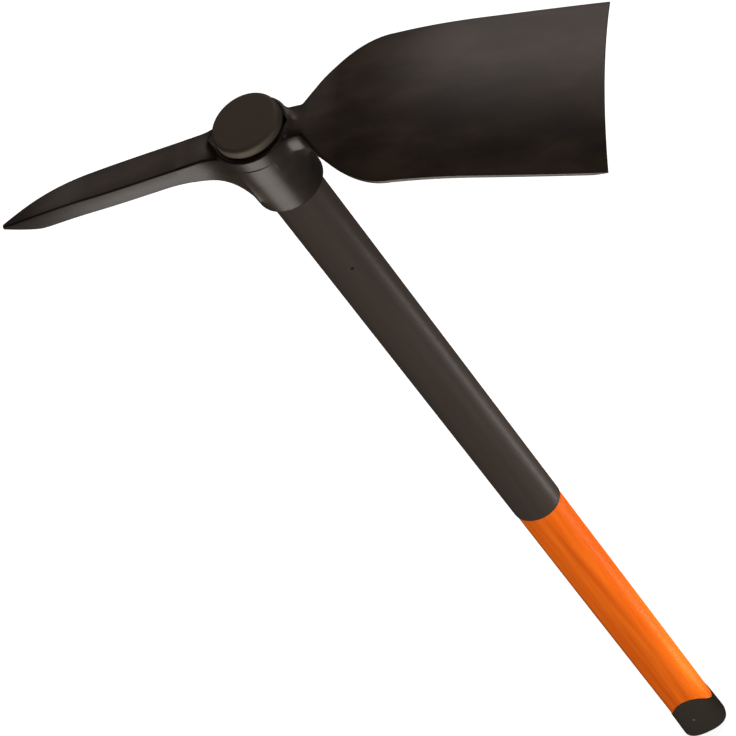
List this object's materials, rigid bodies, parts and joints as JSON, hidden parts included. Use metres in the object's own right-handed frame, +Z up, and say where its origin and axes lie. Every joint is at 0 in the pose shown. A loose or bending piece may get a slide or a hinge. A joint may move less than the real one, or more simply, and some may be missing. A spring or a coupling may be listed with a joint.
{
  "type": "mattock",
  "caption": "Hand mattock: forged head with a pick and a wide adze blade, slid onto the flared top of a sleeved and lacquered wooden handle.",
  "frame": {"origin": "centre of the butt's flat foot, on the handle's axis", "axes": "+Z up the handle to the head, +X towards the adze blade's edge, -X towards the pick's tip"},
  "size_m": [0.475, 0.152, 0.901],
  "materials": {
    "lacquered_steel": "brown-black lacquer over a forged surface, half gloss",
    "orange_wood": "orange lacquer over straight grain, glossy",
    "black_sleeve": "smooth brown-black sleeve, low gloss",
    "black_plastic": "moulded brown-black plastic, fine grain",
    "pin_steel": "dull dark steel"
  },
  "bodies": {
    "handle": {"wood_shaft": "orange_wood", "shaft_sleeve": "black_sleeve", "sleeve_pin": "pin_steel", "top_cap": "black_plastic", "butt_cap": "black_plastic", "butt_pin": "pin_steel"},
    "head": {"mattock_head": "lacquered_steel"}
  },
  "joints": [
    {"name": "head_slide", "type": "slide", "parent": "handle", "child": "head", "axis": [0, 0, -1], "range_m": [0, 0.82]}
  ]
}
